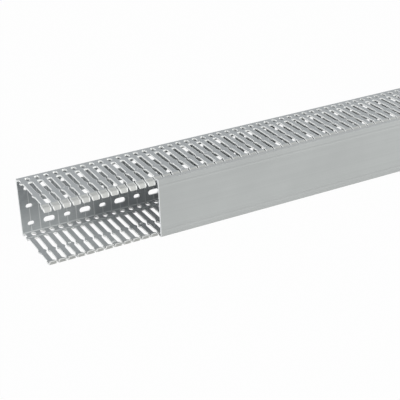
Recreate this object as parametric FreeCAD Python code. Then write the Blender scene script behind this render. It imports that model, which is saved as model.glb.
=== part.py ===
import FreeCAD, Part
import math
import os

# A length of slotted wiring duct with its clip-on cover, lying on one slotted wall.
# X runs along the duct, Y from the opening (-) to the base (+), Z from wall to wall.
# All sizes are in millimetres.

# Stock
LENGTH = 1000.0          # length that the duct is sold in
PITCH = 12.5             # one finger and one slot
WIDTH = 80.0             # outside, over both slotted walls
DEPTH = 100.0            # outside, from the back of the base to the face of the cover
BASE_THICKNESS = 2.5
WALL_THICKNESS = 2.0

# Thick strip of each wall beside the base
ROOT_STRIP_THICKNESS = 2.6
ROOT_STRIP_END = 15.0    # measured from the back of the base, like all places below
ROOT_STRIP_RUNOUT = 2.0
CORNER_CHAMFER = 1.0

# Oblong knock-through holes in the thick strip
WALL_HOLE_WIDTH = 6.0
WALL_HOLE_LENGTH = 10.0
WALL_HOLE_CENTRE = 9.0

# Slots between the fingers
SLOT_WIDTH = 6.0
SLOT_ROOT = 18.9
SLOT_ROOT_CHAMFER = 0.8
PINCH_GAP = 2.0          # between the noses that keep wires in
PINCH_CENTRE = 58.0
PINCH_NOSE = 1.4         # flat of each nose, along the finger
PINCH_FLANK = 4.4        # slope of each nose, along the finger
HEAD_GAP = 2.2           # between the heads at the finger tips
SHOULDER_LENGTH = 1.6

# Finger heads, bent in so that the cover's flange lies flush over them
HEAD_LENGTH = 13.5       # from the face of the cover back to the bend
BEND_LENGTH = 3.7        # slope from the wall's outside down to the flange's seat
LIP_DROP = 6.4           # from the wall's outside to the tip
LIP_THICKNESS = 1.8
GROOVE_LENGTH = 1.3      # holds the bead of the cover's flange
LIP_CORNER = 1.0         # chamfer at each side of the lip

# Cover
COVER_LENGTH = 1000.0
COVER_START = 151.0      # how far it is slid back from the duct's left end
COVER_THICKNESS = 1.5
COVER_INSET = 0.1        # of the flanges, from the outsides of the walls
FLANGE_THICKNESS = 1.0
FLANGE_LENGTH = 5.6
FLANGE_BEAD = 0.35       # inward bead at the flange's rear edge
BEAD_LENGTH = 0.8
CROWN = 0.5              # height of the face's middle over its two edges
CROWN_STRIP = 8.0        # width of the sloping strip at each edge
FIT_CLEARANCE = 0.2      # between cover and fingers

# Oblong fixing holes in the base: three rows, small and large in turn
FIXING_ROWS = 3
FIXING_ROW_SPACING = 25.0
FIXING_STEP = 4 * PITCH
SMALL_HOLE = (9.0, 6.0)  # length and width
LARGE_HOLE = (15.5, 8.0)

ROUND_SIDES = 4          # flats that stand for each half-round end of a wall hole

# Places that follow from the sizes
FLANGE_REAR = DEPTH - CROWN - FLANGE_LENGTH
SEAT_DROP = COVER_INSET + FLANGE_THICKNESS + FIT_CLEARANCE
GROOVE_DROP = SEAT_DROP + FLANGE_BEAD
GROOVE_START = FLANGE_REAR - FIT_CLEARANCE
GROOVE_END = GROOVE_START + GROOVE_LENGTH
TIP = DEPTH - CROWN - COVER_THICKNESS - FIT_CLEARANCE
BEND_START = DEPTH - HEAD_LENGTH
SEAT_START = BEND_START + BEND_LENGTH
FINGERS = int(round(LENGTH / PITCH))
LEFT_END = -max(LENGTH, COVER_START + COVER_LENGTH) / 2


def point(depth, drop):
    """A point of the section: depth from the back of the base, drop from the outside."""
    return FreeCAD.Vector(0, DEPTH / 2 - depth, drop)


def closed_face(points):
    return Part.Face(Part.makePolygon(points + points[:1]))


def both_walls(half):
    """The section's points for the lower half, then mirrored for the upper half."""
    upper = [FreeCAD.Vector(p.x, p.y, WIDTH - p.z) for p in reversed(half)]
    return half + upper


def extrude_along(face, start, length):
    face.translate(FreeCAD.Vector(start, 0, 0))
    return face.extrude(FreeCAD.Vector(length, 0, 0))


def duct_section():
    """U-shaped section with thick wall roots and bent-in heads."""
    lip_inside = TIP - LIP_THICKNESS
    outside = [
        point(0, 0),
        point(BEND_START, 0),
        point(SEAT_START, SEAT_DROP),
        point(GROOVE_START - FLANGE_BEAD, SEAT_DROP),
        point(GROOVE_START, GROOVE_DROP),
        point(GROOVE_END, GROOVE_DROP),
        point(GROOVE_END + FLANGE_BEAD, SEAT_DROP),
        point(TIP, LIP_DROP),
    ]
    inside = [
        point(lip_inside, LIP_DROP),
        point(lip_inside - FLANGE_BEAD, GROOVE_DROP + WALL_THICKNESS),
        point(SEAT_START, GROOVE_DROP + WALL_THICKNESS),
        point(BEND_START, WALL_THICKNESS),
        point(ROOT_STRIP_END + ROOT_STRIP_RUNOUT, WALL_THICKNESS),
        point(ROOT_STRIP_END, ROOT_STRIP_THICKNESS),
        point(BASE_THICKNESS + CORNER_CHAMFER, ROOT_STRIP_THICKNESS),
        point(BASE_THICKNESS, ROOT_STRIP_THICKNESS + CORNER_CHAMFER),
    ]
    return closed_face(both_walls(outside + inside))


def slot_outline(x):
    """One slot seen square to the wall: root, pinch noses, shoulders, gap of the heads."""
    wide = SLOT_WIDTH / 2
    pinch = PINCH_GAP / 2
    head = HEAD_GAP / 2
    nose = PINCH_NOSE / 2
    side = [
        (wide - SLOT_ROOT_CHAMFER, SLOT_ROOT),
        (wide, SLOT_ROOT + SLOT_ROOT_CHAMFER),
        (wide, PINCH_CENTRE - nose - PINCH_FLANK),
        (pinch, PINCH_CENTRE - nose),
        (pinch, PINCH_CENTRE + nose),
        (wide, PINCH_CENTRE + nose + PINCH_FLANK),
        (wide, BEND_START - SHOULDER_LENGTH),
        (head, BEND_START),
        (head, DEPTH),
    ]
    right = [FreeCAD.Vector(x + w, DEPTH / 2 - d, 0) for w, d in side]
    left = [FreeCAD.Vector(x - w, DEPTH / 2 - d, 0) for w, d in reversed(side)]
    return closed_face(right + left)


def oblong_ends(centre, along, across, length, width, steps):
    """The points of an oblong hole's two round ends, each end in so many steps."""
    turns = [math.pi * (i / steps - 0.5) for i in range(steps + 1)]
    ends = []
    for end in (1, -1):
        middle = centre + along * (end * (length - width) / 2)
        reach = end * width / 2
        ends.append([middle + (along * math.cos(t) + across * math.sin(t)) * reach for t in turns])
    return ends


def fixing_hole(centre, size):
    """Flat face of an oblong screw hole in the base, with true arcs for its ends."""
    along = FreeCAD.Vector(1, 0, 0)
    across = FreeCAD.Vector(0, 0, 1)
    right, left = oblong_ends(centre, along, across, *size, 2)
    arcs = [Part.Arc(*end).toShape() for end in (right, left)]
    sides = [Part.makeLine(right[-1], left[0]), Part.makeLine(left[-1], right[0])]
    return Part.Face(Part.Wire([arcs[0], sides[0], arcs[1], sides[1]]))


def wall_hole(x):
    """Flat face of a hole in the walls, where flats stand for the round ends."""
    centre = FreeCAD.Vector(x, DEPTH / 2 - WALL_HOLE_CENTRE, 0)
    along = FreeCAD.Vector(0, 1, 0)
    across = FreeCAD.Vector(1, 0, 0)
    ends = oblong_ends(centre, along, across, WALL_HOLE_LENGTH, WALL_HOLE_WIDTH, ROUND_SIDES)
    return closed_face(ends[0] + ends[1])


def lip_notch(x):
    """Wedge that chamfers the corners of two neighbouring lips."""
    head = HEAD_GAP / 2
    start = DEPTH / 2 - (TIP - LIP_THICKNESS - 2 * FLANGE_BEAD)
    corner = LIP_DROP - 2 * LIP_CORNER
    outline = [
        FreeCAD.Vector(x - head, start, corner),
        FreeCAD.Vector(x + head, start, corner),
        FreeCAD.Vector(x + head + LIP_CORNER, start, LIP_DROP),
        FreeCAD.Vector(x - head - LIP_CORNER, start, LIP_DROP),
    ]
    return closed_face(outline).extrude(FreeCAD.Vector(0, -DEPTH, 0))


def wall_punches():
    """What the punch takes out of both slotted walls, one pitch after the other."""
    through = FreeCAD.Vector(0, 0, WIDTH)
    punches = []
    for i in range(FINGERS + 1):
        x = LEFT_END + i * PITCH
        punches.append(wall_hole(x).extrude(through))
        punches.append(slot_outline(x).extrude(through))
    return punches


def base_holes():
    holes = []
    first_row = WIDTH / 2 - (FIXING_ROWS - 1) * FIXING_ROW_SPACING / 2
    through = FreeCAD.Vector(0, -BASE_THICKNESS, 0)
    for step in range(int(LENGTH // FIXING_STEP)):
        x = LEFT_END + step * FIXING_STEP
        for row in range(FIXING_ROWS):
            z = first_row + row * FIXING_ROW_SPACING
            for place, size in ((PITCH, SMALL_HOLE), (3 * PITCH, LARGE_HOLE)):
                centre = FreeCAD.Vector(x + place, DEPTH / 2, z)
                holes.append(fixing_hole(centre, size).extrude(through))
    return holes


def lip_notches():
    notches = []
    for i in range(FINGERS + 1):
        lower = lip_notch(LEFT_END + i * PITCH)
        notches.append(lower)
        middle = FreeCAD.Vector(0, 0, WIDTH / 2)
        notches.append(lower.mirror(middle, FreeCAD.Vector(0, 0, 1)))
    return notches


def duct_body():
    solid = extrude_along(duct_section(), LEFT_END, LENGTH)
    cuts = wall_punches() + base_holes() + lip_notches()
    return solid.cut(Part.makeCompound(cuts))


def cover():
    """C-shaped section: crowned face and two flanges with a bead at the rear edge."""
    crown_line = COVER_INSET + CROWN_STRIP
    half = [
        point(DEPTH, crown_line),
        point(DEPTH - CROWN, COVER_INSET),
        point(FLANGE_REAR, COVER_INSET),
        point(FLANGE_REAR, COVER_INSET + FLANGE_THICKNESS + FLANGE_BEAD),
        point(FLANGE_REAR + BEAD_LENGTH, COVER_INSET + FLANGE_THICKNESS + FLANGE_BEAD),
        point(FLANGE_REAR + BEAD_LENGTH + FLANGE_BEAD, COVER_INSET + FLANGE_THICKNESS),
        point(DEPTH - CROWN - COVER_THICKNESS, COVER_INSET + FLANGE_THICKNESS),
        point(DEPTH - COVER_THICKNESS, crown_line),
    ]
    return extrude_along(closed_face(both_walls(half)), LEFT_END + COVER_START, COVER_LENGTH)


os.makedirs("parts", exist_ok=True)
for name, shape in (("duct_body", duct_body()), ("cover", cover())):
    shape.exportStep(os.path.join("parts", name + ".step"))
    print(name, shape.isValid(), len(shape.Solids), round(shape.Volume))
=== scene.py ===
"""The looks of a length of slotted wiring duct and its clip-on cover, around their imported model."""

import logging
from dataclasses import dataclass
from enum import Enum
from typing import Any

import bmesh
import bpy
from mathutils import Matrix, Vector


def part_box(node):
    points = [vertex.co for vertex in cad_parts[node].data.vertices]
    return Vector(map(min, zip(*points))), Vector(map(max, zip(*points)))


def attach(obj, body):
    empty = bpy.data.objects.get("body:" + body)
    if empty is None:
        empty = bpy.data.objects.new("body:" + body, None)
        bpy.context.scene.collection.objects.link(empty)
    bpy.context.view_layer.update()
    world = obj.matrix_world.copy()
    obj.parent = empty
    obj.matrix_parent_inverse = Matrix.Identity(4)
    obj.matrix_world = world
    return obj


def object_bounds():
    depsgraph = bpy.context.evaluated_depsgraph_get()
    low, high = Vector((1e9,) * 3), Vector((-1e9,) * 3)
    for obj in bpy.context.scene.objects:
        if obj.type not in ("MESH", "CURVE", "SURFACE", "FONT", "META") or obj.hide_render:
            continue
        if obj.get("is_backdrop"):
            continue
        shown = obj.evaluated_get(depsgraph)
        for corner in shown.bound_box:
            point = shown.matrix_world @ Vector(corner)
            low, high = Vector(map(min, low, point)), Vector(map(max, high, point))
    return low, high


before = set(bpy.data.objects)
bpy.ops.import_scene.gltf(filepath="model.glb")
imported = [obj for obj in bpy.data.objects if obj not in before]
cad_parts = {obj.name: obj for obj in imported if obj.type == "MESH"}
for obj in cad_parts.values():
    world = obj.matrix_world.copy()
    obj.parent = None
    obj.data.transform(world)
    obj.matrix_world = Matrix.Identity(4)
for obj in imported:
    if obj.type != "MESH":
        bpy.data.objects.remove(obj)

MM = 0.001
LOG = logging.getLogger("wire_duct")

Socket = bpy.types.NodeSocket
Tree = bpy.types.ShaderNodeTree


def linear(hex_colour: str) -> tuple[float, float, float, float]:
    """Turns an sRGB hex colour to linear.

    Args:
        hex_colour: Six hex digits, with or without a leading hash.

    Returns:
        Linear red, green and blue, and an alpha of 1.
    """
    digits = hex_colour.lstrip("#")
    channels = [int(digits[i:i + 2], 16) / 255 for i in (0, 2, 4)]
    red, green, blue = (c / 12.92 if c <= 0.04045 else ((c + 0.055) / 1.055) ** 2.4 for c in channels)
    return red, green, blue, 1.0


def add_node(tree: Tree, kind: str, inputs: dict[Any, Any] | None = None, **settings: Any) -> bpy.types.Node:
    """Adds a node with its settings, its values and its links.

    Args:
        tree: The node tree that the node goes into.
        kind: The node's type, such as ShaderNodeMath.
        inputs: For an input's name or number, a value, or the output socket that feeds it.
        **settings: The node's own options, such as operation.

    Returns:
        The new node.
    """
    node = tree.nodes.new(kind)
    for option, value in settings.items():
        setattr(node, option, value)
    for key, value in (inputs or {}).items():
        if isinstance(value, Socket):
            tree.links.new(value, node.inputs[key])
        else:
            node.inputs[key].default_value = value
    return node


@dataclass(frozen=True)
class Gauge:
    """The duct's own measures: along it, in from the back of its base, and off its middle."""

    left: float
    back: float
    middle: float

    @classmethod
    def of(cls, node: str) -> "Gauge":
        """Reads the gauge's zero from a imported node."""
        low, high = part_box(node)
        return cls(low.x, high.y, (low.z + high.z) / 2)

    def point(self, along: float, depth: float, off_middle: float) -> Vector:
        """A point in metres from the duct's own measures in millimetres."""
        return Vector((self.left + along * MM, self.back - depth * MM, self.middle + off_middle * MM))

    def coordinates(self, tree: Tree) -> Socket:
        """Gives object coordinates turned to the duct's own measures in millimetres.

        Args:
            tree: The material's node tree.

        Returns:
            A vector of the place along, the depth and the height off the middle.
        """
        source = add_node(tree, "ShaderNodeTexCoord")
        mapping = add_node(tree, "ShaderNodeMapping", {
            "Vector": source.outputs["Object"],
            "Location": (-self.left / MM, self.back / MM, -self.middle / MM),
            "Scale": (1 / MM, -1 / MM, 1 / MM)})
        return mapping.outputs["Vector"]


class Channel(Enum):
    """What a band of the surface is read by: its place, or how squarely it faces a direction."""

    ALONG = "along"
    DEPTH = "depth"
    OFF_MIDDLE = "off_middle"
    FACES_ALONG = "faces_along"
    FACES_DEPTH = "faces_depth"
    FACES_WALL = "faces_wall"


# Bands for how squarely a face faces a direction, from 0 for edge-on to 1 for square-on
SQUARE_ON = (0.9, 1.1)
MOSTLY = (0.5, 1.1)
PARTLY = (0.3, 1.1)
HARDLY = (-0.1, 0.5)


@dataclass(frozen=True)
class Zone:
    """A part of the surface, where every channel that it names lies within its band."""

    bands: dict[Channel, tuple[float, float]]


class SurfaceReader:
    """Reads places and facings inside a material, and finds zones of the surface by them."""

    def __init__(self, tree: Tree, gauge: Gauge) -> None:
        """Adds the nodes that every zone and pattern reads.

        Args:
            tree: The material's node tree.
            gauge: The duct's own measures.
        """
        self.tree = tree
        self.place = gauge.coordinates(tree)
        place = add_node(tree, "ShaderNodeSeparateXYZ", {0: self.place})
        facing = add_node(tree, "ShaderNodeTexCoord").outputs["Normal"]
        square = add_node(tree, "ShaderNodeVectorMath", {0: facing}, operation="ABSOLUTE")
        faces = add_node(tree, "ShaderNodeSeparateXYZ", {0: square.outputs[0]})
        folded = add_node(tree, "ShaderNodeMath", {0: place.outputs["Z"]}, operation="ABSOLUTE")
        self.channels: dict[Channel, Socket] = {
            Channel.ALONG: place.outputs["X"],
            Channel.DEPTH: place.outputs["Y"],
            Channel.OFF_MIDDLE: folded.outputs[0],
            Channel.FACES_ALONG: faces.outputs["X"],
            Channel.FACES_DEPTH: faces.outputs["Y"],
            Channel.FACES_WALL: faces.outputs["Z"],
        }

    def off(self, channel: Channel, line: float) -> Socket:
        """Measures how far a point's place is from a line, on either side."""
        past = add_node(self.tree, "ShaderNodeMath", {0: self.channels[channel], 1: line}, operation="SUBTRACT")
        return add_node(self.tree, "ShaderNodeMath", {0: past.outputs[0]}, operation="ABSOLUTE").outputs[0]

    def inside(self, zone: Zone) -> Socket:
        """Gives 1 inside a zone and 0 outside it.

        Args:
            zone: The bands that the zone keeps to.

        Returns:
            The mask's socket.
        """
        mask = None
        for channel, (low, high) in zone.bands.items():
            band = add_node(self.tree, "ShaderNodeMath", {
                0: self.channels[channel], 1: (low + high) / 2, 2: (high - low) / 2}, operation="COMPARE")
            mask = band.outputs[0] if mask is None else add_node(
                self.tree, "ShaderNodeMath", {0: mask, 1: band.outputs[0]}, operation="MULTIPLY").outputs[0]
        return mask

    def any_of(self, zones: tuple[Zone, ...]) -> Socket:
        """Gives 1 where any of the zones is.

        Args:
            zones: The zones to join.

        Returns:
            The joined mask's socket.
        """
        joined = self.inside(zones[0])
        for zone in zones[1:]:
            joined = add_node(self.tree, "ShaderNodeMath", {0: joined, 1: self.inside(zone)},
                              operation="MAXIMUM").outputs[0]
        return joined

    def beside_slots(self, section: "Section") -> Socket:
        """Measures how far a point of a slotted wall is from the nearest slot.

        Args:
            section: The sizes that the slots follow.

        Returns:
            The distance's socket, in millimetres.
        """
        across = add_node(self.tree, "ShaderNodeMath", {
            0: self.channels[Channel.ALONG], 1: section.pitch / 2}, operation="PINGPONG")
        return add_node(self.tree, "ShaderNodeMath", {
            0: across.outputs[0], 1: self._half_slot(section)}, operation="SUBTRACT").outputs[0]

    def _half_slot(self, section: "Section") -> Socket:
        """Follows the outline of a slot between two fingers.

        Args:
            section: The sizes that the slots follow.

        Returns:
            Half the slot's width at each depth, in millimetres, and a negative number where there is no slot.
        """
        depth = self.channels[Channel.DEPTH]
        off_nose = self.off(Channel.DEPTH, section.pinch_centre)
        root, reach = section.slot_root, section.root_reach
        half = None
        for value, (start, first), (end, last) in (
                (off_nose, (section.nose, section.pinch), (section.nose + section.flank, section.slot)),
                (depth, (section.bend - section.shoulder, section.slot), (section.bend, section.head)),
                (depth, (root - reach, -reach), (root, section.slot))):
            run = add_node(self.tree, "ShaderNodeMapRange", {
                "Value": value, "From Min": start, "From Max": end, "To Min": first, "To Max": last}).outputs[0]
            half = run if half is None else add_node(
                self.tree, "ShaderNodeMath", {0: half, 1: run}, operation="MINIMUM").outputs[0]
        return half

    def noise(self, period: tuple[float, float, float], detail: float = 2.0) -> Socket:
        """Gives a noise with its own grain size along, into and across the duct.

        Args:
            period: The grain's three sizes in millimetres.
            detail: How many finer layers the noise has.

        Returns:
            The noise's socket, from 0 to 1.
        """
        scale = tuple(1 / size for size in period)
        stretched = add_node(self.tree, "ShaderNodeVectorMath", {0: self.place, 1: scale}, operation="MULTIPLY")
        texture = add_node(self.tree, "ShaderNodeTexNoise", {
            "Vector": stretched.outputs[0], "Scale": 1.0, "Detail": detail})
        return texture.outputs["Fac"]


@dataclass(frozen=True)
class Section:
    """The sizes of the duct that its finish follows, in millimetres."""

    width: float = 80.0
    depth: float = 100.0
    base: float = 2.5
    wall: float = 2.0
    root_strip: float = 2.6
    root_strip_end: float = 15.0
    root_strip_runout: float = 2.0
    slot_root: float = 18.9
    pitch: float = 12.5
    slot: float = 3.0
    pinch: float = 1.0
    pinch_centre: float = 58.0
    nose: float = 0.7
    flank: float = 4.4
    head: float = 1.1
    bend: float = 86.5
    shoulder: float = 1.6
    lip_front: float = 95.7
    tip_off_middle: float = 33.6
    cover_start: float = 151.0
    cover_length: float = 1000.0
    cover_groove: float = 31.5
    mark_step: float = 100.0
    pip: tuple[float, float] = (43.75, 55.0)
    pad: tuple[float, float] = (93.75, 82.0)
    # How far a zone reaches past the faces that it is named for, or stops short of their neighbours
    margin: float = 0.06
    runout_margin: float = 0.03
    corner_band: float = 1.2
    past_corner: float = 1.1
    crown_band: float = 0.6
    root_band: float = 1.0
    root_reach: float = 3.0
    bend_lead: float = 1.0
    skin_reach: float = 1.6
    lip_reach: float = 7.0
    clear: float = 1.0

    def cut_zones(self) -> tuple[Zone, ...]:
        """Names what the punch and the saw left, as against what came smooth from the die.

        Returns:
            The zones of the sawn ends, slot sides and hole walls, of the slot roots and the outer half of the
            wall holes, of the fingers' tips, and of the outer half of the base's holes.
        """
        outside = self.width / 2
        return (
            Zone({Channel.FACES_ALONG: PARTLY}),
            Zone({
                Channel.FACES_DEPTH: MOSTLY,
                Channel.OFF_MIDDLE: (outside - self.wall - self.margin, outside + self.margin),
                Channel.DEPTH: (self.slot_root - self.root_band, self.slot_root + self.root_band)}),
            Zone({
                Channel.FACES_DEPTH: MOSTLY,
                Channel.OFF_MIDDLE: (outside - self.root_strip / 2, outside + self.margin),
                Channel.DEPTH: (self.base + self.past_corner, self.slot_root - self.root_band)}),
            Zone({
                Channel.FACES_WALL: SQUARE_ON,
                Channel.OFF_MIDDLE: (self.tip_off_middle - self.margin, self.tip_off_middle + self.margin)}),
            Zone({
                Channel.FACES_DEPTH: HARDLY,
                Channel.OFF_MIDDLE: (0, outside - self.root_strip - self.past_corner),
                Channel.DEPTH: (self.margin, self.base / 2)}),
        )

    def outer_zones(self) -> tuple[Zone, ...]:
        """The outsides of the fingers on both slotted walls, and the fronts of the lips."""
        outside = self.width / 2
        return (
            Zone({
                Channel.OFF_MIDDLE: (outside - self.skin_reach, outside + self.clear),
                Channel.DEPTH: (self.slot_root - self.root_reach, self.depth + self.clear)}),
            Zone({
                Channel.OFF_MIDDLE: (outside - self.lip_reach, outside),
                Channel.DEPTH: (self.lip_front, self.depth)}),
        )

    def edge_zones(self) -> tuple[Zone, ...]:
        """Names the edges that run the duct's length, which get a painted highlight where they catch the light.

        Returns:
            The zones of the base's two inner corners and of the root strips' run-outs.
        """
        strip = self.width / 2 - self.root_strip
        wall = self.width / 2 - self.wall
        return (
            Zone({
                Channel.DEPTH: (self.base, self.base + self.corner_band),
                Channel.OFF_MIDDLE: (strip - self.corner_band, strip)}),
            Zone({
                Channel.DEPTH: (self.root_strip_end, self.root_strip_end + self.root_strip_runout),
                Channel.OFF_MIDDLE: (strip + self.runout_margin, wall - self.runout_margin)}),
        )

    def bent_zone(self) -> Zone:
        """The bent-in heads, inside and outside."""
        return Zone({
            Channel.DEPTH: (self.bend + self.bend_lead, self.depth),
            Channel.OFF_MIDDLE: (self.width / 2 - self.lip_reach, self.width)})

    def cover_face(self) -> Zone:
        """The front of the cover."""
        return Zone({
            Channel.DEPTH: (self.depth - self.crown_band, self.depth + self.clear),
            Channel.FACES_DEPTH: SQUARE_ON})

    def base_zone(self) -> Zone:
        """The inner face of the base, which carries the score lines."""
        return Zone({
            Channel.DEPTH: (self.base - self.margin, self.base + self.margin),
            Channel.FACES_DEPTH: SQUARE_ON})


class Marking(Enum):
    """What a piece's skin carries besides the marks of the die."""

    PLAIN = "plain"
    PUNCHED_BODY = "punched_body"
    SAWN_COVER = "sawn_cover"


@dataclass(frozen=True)
class ExtrudedPvc:
    """Rigid grey PVC, with its lengths in millimetres.

    The skin comes smooth and satin from the die, with faint lines along the run. Where the punch or
    the saw went through, the cut is matt and much paler, because it is stressed and finely torn.
    The die lines and score lines of the real one are finer, and its dimples and grooves
    shallower: here they are drawn as coarse and as deep as they need to be to show. The pale bands
    beside the slots, along the long edges and at the cover's sawn ends are painted highlights; the
    bent heads' paler, warmer tint and the dimples' paleness are painted light.
    """

    name: str
    skin: str
    skin_shade: str
    cut: str
    ior: float = 1.53
    skin_roughness: float = 0.46
    cut_roughness: float = 0.8
    bump_strength: float = 0.35
    bump_height: float = 0.05
    tone_span: tuple[float, float] = (0.12, 0.4)
    die_line: float = 1.6
    die_line_run: float = 700.0
    die_line_detail: float = 3.0
    die_line_height: float = 0.6
    mottle: float = 60.0
    grain: float = 0.45
    shear_mark: float = 0.35
    shear_stretch: float = 8.0
    score_line: float = 1.3
    score_core: float = 0.2
    score_brightening: float = 0.45
    # The painted highlight beside the slots: its width, its width on the lips, its solid core's share, and how
    # pale it is painted. The last also sets the painted highlight at the cover's sawn ends.
    rim: float = 0.6
    lip_rim: float = 2.4
    rim_core: float = 0.3
    painted_highlight_strength: float = 0.95
    # Painted highlight along the base's inner corners and the root strips' run-outs, where these edges catch the
    # light.
    edge_painted_highlight: float = 0.3
    # Painted light: the bent heads are tinted paler and warmer with this colour, standing in for the front light
    # that falls on them.
    bent: str = "#D2D0C6"
    bend_painted_light: float = 0.32
    pip_dimple: tuple[float, float] = (2.1, 1.5)
    pad_dimple: tuple[float, float] = (2.6, 1.6)
    dimple_floor: float = 0.35
    dimple_depth: float = 20.0
    # Painted light: the dimples' middles are painted paler, standing in for the light that their far walls
    # catch.
    dimple_painted_light: float = 0.5
    sawn_rim: float = 0.8
    sawn_core: float = 0.6
    groove_half: float = 2.6
    groove_depth: float = 18.0

    def material(self, gauge: Gauge, section: Section, marking: Marking) -> bpy.types.Material:
        """Builds the finish.

        Args:
            gauge: The duct's own measures.
            section: The sizes that the finish follows.
            marking: Which marks the skin carries.

        Returns:
            The material.
        """
        material = bpy.data.materials.new(self.name)
        material.use_nodes = True
        tree = material.node_tree
        tree.nodes.clear()
        surface = SurfaceReader(tree, gauge)
        cut = surface.any_of(section.cut_zones())
        colour, height = self._skin(surface)
        shear = surface.noise((self.shear_mark, self.shear_mark, self.shear_stretch * self.shear_mark))
        height = add_node(tree, "ShaderNodeMix", {
            "Factor": cut, 2: height, 3: shear}, data_type="FLOAT").outputs[0]
        reliefs: tuple[Socket, ...] = ()
        tints: tuple[tuple[Socket, str], ...] = ((cut, self.cut),)
        if marking is Marking.PUNCHED_BODY:
            reliefs = (self._score_lines(surface, section), self._dimples(surface, section))
            # Painted light on the bent heads, inside and outside.
            bent = add_node(tree, "ShaderNodeMath", {
                0: surface.inside(section.bent_zone()), 1: self.bend_painted_light}, operation="MULTIPLY")
            # Painted highlights beside the slots, along the long edges and in the dimples, joined with the real
            # pale score lines, all tinted with the cut colour.
            pale = self._lines_and_painted_highlights(surface, section, *reliefs)
            tints = ((bent.outputs[0], self.bent), (pale, self.cut), *tints)
        elif marking is Marking.SAWN_COVER:
            reliefs = (self._groove(surface, section),)
            # Painted highlight beside the cover's sawn ends.
            tints = ((self._painted_end_highlights(surface, section), self.cut), *tints)
        for relief in reliefs:
            height = add_node(tree, "ShaderNodeMath", {0: height, 1: relief}, operation="SUBTRACT").outputs[0]
        for mask, tint in tints:
            colour = add_node(tree, "ShaderNodeMix", {
                "Factor": mask, 6: colour, 7: linear(tint)}, data_type="RGBA").outputs[2]
        roughness = add_node(tree, "ShaderNodeMix", {
            "Factor": cut, 2: self.skin_roughness, 3: self.cut_roughness}, data_type="FLOAT")
        bump = add_node(tree, "ShaderNodeBump", {
            "Strength": self.bump_strength, "Distance": self.bump_height * MM, "Height": height})
        shader = add_node(tree, "ShaderNodeBsdfPrincipled", {
            "Base Color": colour, "Roughness": roughness.outputs[0], "IOR": self.ior,
            "Normal": bump.outputs[0]})
        add_node(tree, "ShaderNodeOutputMaterial", {"Surface": shader.outputs[0]})
        return material

    def _skin(self, surface: SurfaceReader) -> tuple[Socket, Socket]:
        """Draws the skin as the die leaves it, with faint lines along the run and a fine grain.

        Args:
            surface: The reader of places and facings.

        Returns:
            The skin's colour, and its height for the bump.
        """
        streaks = surface.noise((self.die_line_run, self.die_line, self.die_line), self.die_line_detail)
        mottle = surface.noise((self.mottle,) * 3)
        grain = surface.noise((self.grain,) * 3)
        blotch = add_node(surface.tree, "ShaderNodeMath", {0: streaks, 1: mottle}, operation="MULTIPLY")
        tone = add_node(surface.tree, "ShaderNodeMapRange", {
            "Value": blotch.outputs[0], "From Min": self.tone_span[0], "From Max": self.tone_span[1]})
        skin = add_node(surface.tree, "ShaderNodeMix", {
            "Factor": tone.outputs[0], 6: linear(self.skin_shade), 7: linear(self.skin)}, data_type="RGBA")
        height = add_node(surface.tree, "ShaderNodeMath", {
            0: streaks, 1: self.die_line_height, 2: grain}, operation="MULTIPLY_ADD")
        return skin.outputs[2], height.outputs[0]

    def _lines_and_painted_highlights(self, surface: SurfaceReader, section: Section, line: Socket, dimples: Socket) -> Socket:
        """Joins the real pale score lines with the painted highlights beside the slots, along the long edges and
        in the dimples.

        Args:
            surface: The reader of places and facings.
            section: The sizes that the marks follow.
            line: The score lines.
            dimples: The dimples' depth for the bump.

        Returns:
            The pale score lines and painted highlights, from 0 to 1.
        """
        lines_and_highlights = self._painted_slot_highlights(surface, section)
        for mark, strength in ((surface.any_of(section.edge_zones()), self.edge_painted_highlight),
                               (line, self.score_brightening),
                               (dimples, self.dimple_painted_light / self.dimple_depth)):
            scaled = add_node(surface.tree, "ShaderNodeMath", {0: mark, 1: strength}, operation="MULTIPLY")
            lines_and_highlights = add_node(surface.tree, "ShaderNodeMath", {0: lines_and_highlights, 1: scaled.outputs[0]},
                                 operation="MAXIMUM").outputs[0]
        return lines_and_highlights

    def _painted_slot_highlights(self, surface: SurfaceReader, section: Section) -> Socket:
        """Paints a pale band beside each slot, widest on the lips: a painted highlight where the slot's edges
        catch the light.

        Args:
            surface: The reader of places and facings.
            section: The sizes that the rims follow.

        Returns:
            The painted highlight's strength, and 0 off it.
        """
        tree = surface.tree
        width = add_node(tree, "ShaderNodeMapRange", {
            "Value": surface.channels[Channel.DEPTH], "From Min": section.bend, "From Max": section.depth,
            "To Min": self.rim, "To Max": self.lip_rim})
        share = add_node(tree, "ShaderNodeMath", {
            0: surface.beside_slots(section), 1: width.outputs[0]}, operation="DIVIDE")
        rim = add_node(tree, "ShaderNodeMapRange", {
            "Value": share.outputs[0], "From Min": self.rim_core, "From Max": 1.0,
            "To Min": self.painted_highlight_strength, "To Max": 0.0})
        return add_node(tree, "ShaderNodeMath", {
            0: rim.outputs[0], 1: surface.any_of(section.outer_zones())}, operation="MULTIPLY").outputs[0]

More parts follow.
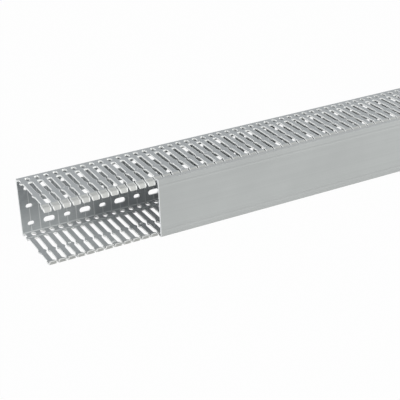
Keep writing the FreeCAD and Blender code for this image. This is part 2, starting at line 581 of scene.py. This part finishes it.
    def _dimples(self, surface: SurfaceReader, section: Section) -> Socket:
        """Draws the dimples outside the pips and pads that are pressed inwards out of every eighth finger.

        Args:
            surface: The reader of places and facings.
            section: The sizes that the dimples follow.

        Returns:
            The dimples' depth for the bump, and 0 off them.
        """
        tree = surface.tree
        half_step = section.mark_step / 2
        dimples = None
        for (along, depth), (half_along, half_into) in ((section.pip, self.pip_dimple),
                                                        (section.pad, self.pad_dimple)):
            past_along, past_depth = (
                add_node(tree, "ShaderNodeMath", {0: surface.channels[channel], 1: line}, operation="SUBTRACT")
                for channel, line in ((Channel.ALONG, along), (Channel.DEPTH, depth)))
            from_nearest = add_node(tree, "ShaderNodeMath", {
                0: past_along.outputs[0], 1: half_step, 2: -half_step}, operation="WRAP")
            spot = add_node(tree, "ShaderNodeCombineXYZ", {
                0: from_nearest.outputs[0], 1: past_depth.outputs[0]})
            scaled = add_node(tree, "ShaderNodeVectorMath", {
                0: spot.outputs[0], 1: (1 / half_along, 1 / half_into, 1)}, operation="MULTIPLY")
            away = add_node(tree, "ShaderNodeVectorMath", {0: scaled.outputs[0]}, operation="LENGTH")
            dimple = add_node(tree, "ShaderNodeMapRange", {
                "Value": away.outputs["Value"], "From Min": 1.0, "From Max": self.dimple_floor,
                "To Max": self.dimple_depth}, interpolation_type="SMOOTHSTEP").outputs[0]
            dimples = dimple if dimples is None else add_node(
                tree, "ShaderNodeMath", {0: dimples, 1: dimple}, operation="MAXIMUM").outputs[0]
        return add_node(tree, "ShaderNodeMath", {
            0: dimples, 1: surface.any_of(section.outer_zones())}, operation="MULTIPLY").outputs[0]

    def _painted_end_highlights(self, surface: SurfaceReader, section: Section) -> Socket:
        """Paints a pale band beside the cover's two sawn ends: a painted highlight where their edges catch the
        light.

        Args:
            surface: The reader of places and facings.
            section: The sizes that the cover follows.

        Returns:
            The painted highlight's strength, and 0 off it.
        """
        half = section.cover_length / 2
        return add_node(surface.tree, "ShaderNodeMapRange", {
            "Value": surface.off(Channel.ALONG, section.cover_start + half),
            "From Min": half - self.sawn_rim, "From Max": half - self.sawn_core * self.sawn_rim,
            "To Max": self.painted_highlight_strength}).outputs[0]

    def _groove(self, surface: SurfaceReader, section: Section) -> Socket:
        """Draws the shallow groove along each side of the cover's face.

        Args:
            surface: The reader of places and facings.
            section: The sizes that the cover follows.

        Returns:
            The groove's depth for the bump, and 0 off it.
        """
        groove = add_node(surface.tree, "ShaderNodeMapRange", {
            "Value": surface.off(Channel.OFF_MIDDLE, section.cover_groove), "From Min": self.groove_half,
            "From Max": 0.0, "To Max": self.groove_depth}, interpolation_type="SMOOTHSTEP")
        return add_node(surface.tree, "ShaderNodeMath", {
            0: groove.outputs[0], 1: surface.inside(section.cover_face())}, operation="MULTIPLY").outputs[0]

    def _score_lines(self, surface: SurfaceReader, section: Section) -> Socket:
        """Draws the pale line across the base at every pitch.

        Args:
            surface: The reader of places and facings.
            section: The sizes that the lines follow.

        Returns:
            1 on a line, and 0 off it.
        """
        away = add_node(surface.tree, "ShaderNodeMath", {
            0: surface.channels[Channel.ALONG], 1: section.pitch / 2}, operation="PINGPONG")
        line = add_node(surface.tree, "ShaderNodeMapRange", {
            "Value": away.outputs[0], "From Min": self.score_line / 2,
            "From Max": self.score_core * self.score_line}, interpolation_type="SMOOTHSTEP")
        return add_node(surface.tree, "ShaderNodeMath", {
            0: line.outputs[0], 1: surface.inside(section.base_zone())}, operation="MULTIPLY").outputs[0]


@dataclass(frozen=True)
class PackedPart:
    """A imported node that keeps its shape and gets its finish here."""

    finish: ExtrudedPvc
    node: str
    slot: str
    marking: Marking
    section: Section = Section()

    def build(self, gauge: Gauge) -> bpy.types.Object:
        """Dresses the node.

        Args:
            gauge: The duct's own measures.

        Returns:
            The node's object.
        """
        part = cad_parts[self.node]
        dress(part, self.finish.material(gauge, self.section, self.marking))
        return part


@dataclass(frozen=True)
class Duct(PackedPart):
    """The slotted body: an extruded base and two punched walls in one piece."""

    node: str = "duct_body"
    slot: str = "duct_pvc"
    marking: Marking = Marking.PUNCHED_BODY


@dataclass(frozen=True)
class Cover(PackedPart):
    """The cover that clips over the finger heads and slides along them."""

    node: str = "cover"
    slot: str = "cover_pvc"
    marking: Marking = Marking.SAWN_COVER


@dataclass(frozen=True)
class PressedMarks:
    """Pips and pads pressed inwards out of every eighth finger, on both slotted walls.

    They are made paler than the skin around them.
    """

    finish: ExtrudedPvc
    section: Section = Section()
    name: str = "pressed_marks"
    body: str = "duct"
    slot: str = "duct_pvc"
    count: int = 10
    pip_foot: float = 2.0
    pip_top: float = 1.3
    pip_ring: float = 0.35
    pip_sink: float = 0.3
    pip_sides: int = 20
    pad_size: tuple[float, float] = (4.2, 3.4)
    pad_corner: float = 0.7
    pad_corner_steps: int = 3
    height: float = 0.6
    sunk: float = 0.1

    def build(self, gauge: Gauge) -> bpy.types.Object:
        """Makes all pips and pads as one piece, and dresses it.

        Args:
            gauge: The duct's own measures.

        Returns:
            The piece's object.
        """
        shape = bmesh.new()
        inside = self.section.width / 2 - self.section.wall
        for form, (along, depth) in ((self._pip(), self.section.pip), (self._pad(), self.section.pad)):
            for number in range(self.count):
                for side in (-1, 1):
                    foot = gauge.point(along + number * self.section.mark_step, depth, side * inside)
                    turned = Matrix.Diagonal((MM, MM, -side * MM, 1))
                    self._add_copy(shape, form, Matrix.Translation(foot) @ turned)
            bpy.data.meshes.remove(form)
        bmesh.ops.recalc_face_normals(shape, faces=shape.faces)
        marks = bpy.data.objects.new(self.name, self._to_mesh(shape))
        bpy.context.scene.collection.objects.link(marks)
        dress(marks, self.finish.material(gauge, self.section, Marking.PLAIN))
        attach(marks, self.body)
        return marks

    def _add_copy(self, shape: bmesh.types.BMesh, form: bpy.types.Mesh, place: Matrix) -> None:
        """Adds a copy of one mark to the piece.

        Each mark is shaped in a mesh of its own, because the bevel leaves gaps in the mesh that it works
        in, and what is added there later fills them in another order on each run.

        Args:
            shape: The piece's mesh.
            form: The mark, with its foot at the origin and its height along Z, in millimetres.
            place: Where the foot stands, with the mark's height along the matrix's third axis.
        """
        before = len(shape.verts)
        shape.from_mesh(form)
        shape.verts.ensure_lookup_table()
        bmesh.ops.transform(shape, matrix=place, verts=shape.verts[before:])

    def _to_mesh(self, shape: bmesh.types.BMesh) -> bpy.types.Mesh:
        """Turns a shape into a mesh, and lets go of the shape.

        Args:
            shape: The finished shape.

        Returns:
            Its mesh.
        """
        mesh = bpy.data.meshes.new(self.name)
        shape.to_mesh(mesh)
        shape.free()
        return mesh

    def _pip(self) -> bpy.types.Mesh:
        """Makes one round pip with a sloping side and a sunk middle.

        Returns:
            Its mesh, with the foot at the origin.
        """
        form = bmesh.new()
        bmesh.ops.create_cone(
            form, cap_ends=True, segments=self.pip_sides, radius1=self.pip_foot, radius2=self.pip_top,
            depth=self.height + self.sunk, matrix=Matrix.Translation((0, 0, (self.height - self.sunk) / 2)))
        top = max(form.faces, key=lambda face: face.calc_center_median().z)
        bmesh.ops.inset_region(
            form, faces=[top], thickness=self.pip_ring * self.pip_top, depth=-self.pip_sink * self.height)
        return self._to_mesh(form)

    def _pad(self) -> bpy.types.Mesh:
        """Makes one low pad with rounded corners.

        Returns:
            Its mesh, with the foot at the origin.
        """
        form = bmesh.new()
        size = Matrix.Diagonal((*self.pad_size, self.height + self.sunk, 1))
        bmesh.ops.create_cube(
            form, size=1, matrix=Matrix.Translation((0, 0, (self.height - self.sunk) / 2)) @ size)
        upright = [edge for edge in form.edges
                   if abs(edge.verts[0].co.z - edge.verts[1].co.z) > self.sunk]
        bmesh.ops.bevel(
            form, geom=upright, offset=self.pad_corner, offset_type="OFFSET", segments=self.pad_corner_steps,
            profile=0.5, affect="EDGES", material=-1)
        return self._to_mesh(form)


def dress(piece: bpy.types.Object, material: bpy.types.Material) -> None:
    """Puts a material into every slot of a piece.

    Args:
        piece: The object to dress.
        material: Its finish.
    """
    if not piece.material_slots:
        piece.data.materials.append(material)
    for place in piece.material_slots:
        place.material = material


@dataclass(frozen=True)
class SoftLamp:
    """A round area lamp, far enough off that its light is even over the object."""

    name: str
    place: tuple[float, float, float]
    power: float
    size: float = 8.0
    colour: str = "#FFFFFF"

    def build(self, target: Vector) -> None:
        """Makes the lamp and turns it to its target.

        Args:
            target: The point that the lamp is aimed at.
        """
        light = bpy.data.lights.new(self.name, "AREA")
        light.shape = "DISK"
        light.size = self.size
        light.energy = self.power
        light.color = linear(self.colour)[:3]
        lamp = bpy.data.objects.new(self.name, light)
        lamp.location = self.place
        lamp.rotation_euler = (target - Vector(self.place)).to_track_quat("-Z", "Y").to_euler()
        bpy.context.scene.collection.objects.link(lamp)


@dataclass(frozen=True)
class Studio:
    """A pale floor, two soft lamps, an even surround, and the camera.

    The camera's values come from fitting it to the slots, holes, corners and cover in the photograph.
    """

    lens: float = 95.30
    sensor: float = 36.0
    eye: tuple[float, float, float] = (-0.91522, -1.13570, 0.63829)
    ahead: tuple[float, float, float] = (0.40414, 0.80054, -0.44250)
    down: tuple[float, float, float] = (-0.23383, -0.37728, -0.89611)
    floor_size: float = 30.0
    floor_colour: str = "#B8B8B8"
    floor_shown_white: float = 0.98
    surround: str = "#F0F5FF"
    surround_strength: float = 0.31
    lamps: tuple[SoftLamp, ...] = (
        SoftLamp("key_lamp", (8.0, -9.9, 5.8), 1840.0, colour="#FFFEFB"),
        SoftLamp("fill_lamp", (-7.7, 0.2, 2.2), 340.0, size=4.0))

    def build(self, target: Vector) -> None:
        """Makes the floor, the lamps, the surround and the camera.

        Args:
            target: The point that the lamps are aimed at.
        """
        self._floor()
        for lamp in self.lamps:
            lamp.build(target)
        self._surround()
        self._camera()
        view = bpy.context.scene.view_settings
        view.view_transform = "Standard"

    def _seen_directly(self, tree: Tree) -> Socket:
        """Gives 1 to camera, glossy and transmission rays, which see the background as plain white.

        Args:
            tree: The node tree of the floor or the surround.

        Returns:
            The mask's socket.
        """
        rays = add_node(tree, "ShaderNodeLightPath").outputs
        seen = rays["Is Camera Ray"]
        for ray in ("Is Glossy Ray", "Is Transmission Ray"):
            seen = add_node(tree, "ShaderNodeMath", {0: seen, 1: rays[ray]}, operation="MAXIMUM").outputs[0]
        return seen

    def _floor(self) -> None:
        """Makes the floor of matt paper, which has no gloss, shows white and keeps a soft shadow."""
        shape = bmesh.new()
        bmesh.ops.create_grid(shape, x_segments=1, y_segments=1, size=self.floor_size / 2)
        mesh = bpy.data.meshes.new("floor")
        shape.to_mesh(mesh)
        shape.free()
        floor = bpy.data.objects.new("floor", mesh)
        bpy.context.scene.collection.objects.link(floor)
        material = bpy.data.materials.new("matt_white_paper")
        material.use_nodes = True
        tree = material.node_tree
        tree.nodes.clear()
        paper = add_node(tree, "ShaderNodeBsdfDiffuse", {"Color": linear(self.floor_colour)})
        white = add_node(tree, "ShaderNodeEmission", {"Strength": 1.0})
        share = add_node(tree, "ShaderNodeMath", {0: self._seen_directly(tree), 1: self.floor_shown_white},
                         operation="MULTIPLY")
        shown = add_node(tree, "ShaderNodeMixShader", {
            0: share.outputs[0], 1: paper.outputs[0], 2: white.outputs[0]})
        add_node(tree, "ShaderNodeOutputMaterial", {"Surface": shown.outputs[0]})
        mesh.materials.append(material)
        floor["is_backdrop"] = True

    def _surround(self) -> None:
        """Lights the scene evenly from all round, and shows plain white."""
        world = bpy.data.worlds.new("surround")
        world.use_nodes = True
        tree = world.node_tree
        tree.nodes.clear()
        light = add_node(tree, "ShaderNodeBackground", {
            "Color": linear(self.surround), "Strength": self.surround_strength})
        white = add_node(tree, "ShaderNodeBackground", {"Color": linear("#FFFFFF"), "Strength": 1.0})
        shown = add_node(tree, "ShaderNodeMixShader", {
            0: self._seen_directly(tree), 1: light.outputs[0], 2: white.outputs[0]})
        add_node(tree, "ShaderNodeOutputWorld", {"Surface": shown.outputs[0]})
        bpy.context.scene.world = world

    def _camera(self) -> None:
        """Places the camera where the photograph was taken from."""
        ahead = Vector(self.ahead).normalized()
        right = Vector(self.down).cross(ahead).normalized()
        up = right.cross(ahead)
        turn = Matrix((right, up, -ahead)).transposed()
        optics = bpy.data.cameras.new("camera")
        optics.lens = self.lens
        optics.sensor_width = self.sensor
        camera = bpy.data.objects.new("camera", optics)
        camera.matrix_world = Matrix.Translation(self.eye) @ turn.to_4x4()
        bpy.context.scene.collection.objects.link(camera)
        bpy.context.scene.camera = camera


def main() -> None:
    """Builds the classes in order and reports each piece."""
    logging.basicConfig(level=logging.INFO, format="%(message)s")
    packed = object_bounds()
    gauge = Gauge.of("duct_body")
    duct_pvc = ExtrudedPvc("extruded_grey_pvc_duct", skin="#AAAEAF", skin_shade="#A2A6A7", cut="#F6F7F5")
    pressed_pvc = ExtrudedPvc("pressed_grey_pvc_marks", skin="#CED0CF", skin_shade="#C4C7C6", cut="#F6F7F5")
    cover_pvc = ExtrudedPvc("extruded_grey_pvc_cover", skin="#B4B7B6", skin_shade="#AEB1B0", cut="#F2F4F4")
    for part in (Duct(duct_pvc), PressedMarks(pressed_pvc), Cover(cover_pvc)):
        piece = part.build(gauge)
        LOG.info("%s: %d faces, %s", piece.name, len(piece.data.polygons), piece.material_slots[0].name)
    middle_of_view = Vector((packed[0].x / 2, 0, packed[1].z / 2))
    Studio().build(middle_of_view)


if __name__ == "__main__":
    main()
